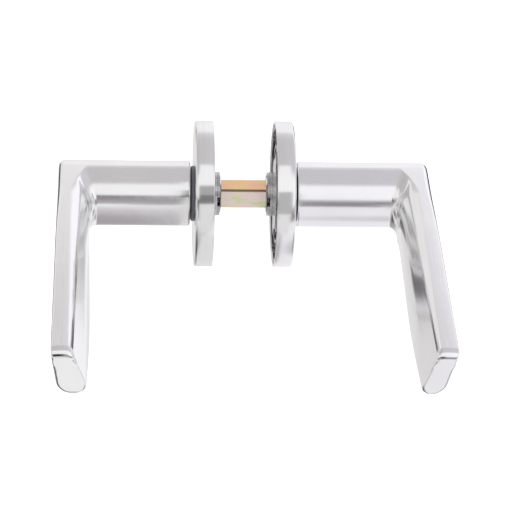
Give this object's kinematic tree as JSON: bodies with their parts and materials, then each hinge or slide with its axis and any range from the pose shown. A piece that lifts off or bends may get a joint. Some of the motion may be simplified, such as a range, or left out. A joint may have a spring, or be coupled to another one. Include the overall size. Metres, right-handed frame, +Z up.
{
  "type": "door lever handle",
  "caption": "Lever handles on round roses for the two sides of a latched door, joined by a square spindle, with sprung roses and slim L-shaped grips.",
  "frame": {"origin": "on the spindle's axis, midway between the backs of the two roses", "axes": "+X along the spindle towards the right handle, the grips point along -Y, +Z up"},
  "size_m": [0.1386, 0.1445, 0.055],
  "materials": {
    "satin_aluminium": "satin, finely brushed",
    "grey_casting": "dull as-cast grey",
    "yellow_zinc": "yellow passivated zinc with faint pink and green tints",
    "dark_nylon": "matt black nylon",
    "pale_nylon": "natural nylon",
    "plain_steel": "plain bright-zinc steel",
    "spring_steel": "dark spring steel",
    "black_steel": "blackened steel"
  },
  "bodies": {
    "rose_set_left": {"rose_base_left": "grey_casting", "rose_cover_left": "satin_aluminium", "neck_bush_left": "dark_nylon", "thrust_washer_left": "pale_nylon", "return_spring_left": "spring_steel"},
    "handle_left": {"spindle": "yellow_zinc", "lever_left": "satin_aluminium", "drive_plate_left": "plain_steel", "back_washer_left": "plain_steel", "retaining_ring_left": "spring_steel", "grub_screw_left": "black_steel"},
    "rose_set_right": {"rose_base_right": "grey_casting", "rose_cover_right": "satin_aluminium", "neck_bush_right": "dark_nylon", "thrust_washer_right": "pale_nylon", "return_spring_right": "spring_steel"},
    "handle_right": {"lever_right": "satin_aluminium", "drive_plate_right": "plain_steel", "back_washer_right": "plain_steel", "retaining_ring_right": "spring_steel", "grub_screw_right": "black_steel"}
  },
  "joints": [
    {"name": "turn_left", "type": "hinge", "parent": "rose_set_left", "child": "handle_left", "pos_m": [0, 0, 0], "axis": [1, 0, 0], "range_deg": [0, 45], "stiffness_Nm_per_rad": 0.8, "springref_deg": -28.65, "deforming": ["return_spring_left"]},
    {"name": "door_thickness", "type": "slide", "parent": "rose_set_left", "child": "rose_set_right", "axis": [1, 0, 0], "range_m": [0, 0.027]},
    {"name": "turn_right", "type": "hinge", "parent": "rose_set_right", "child": "handle_right", "pos_m": [0, 0, 0], "axis": [1, 0, 0], "range_deg": [0, 45], "stiffness_Nm_per_rad": 0.8, "springref_deg": -28.65, "deforming": ["return_spring_right"]}
  ],
  "couplings": [
    {"joint": "turn_right", "follows": "turn_left", "ratio": 1}
  ]
}
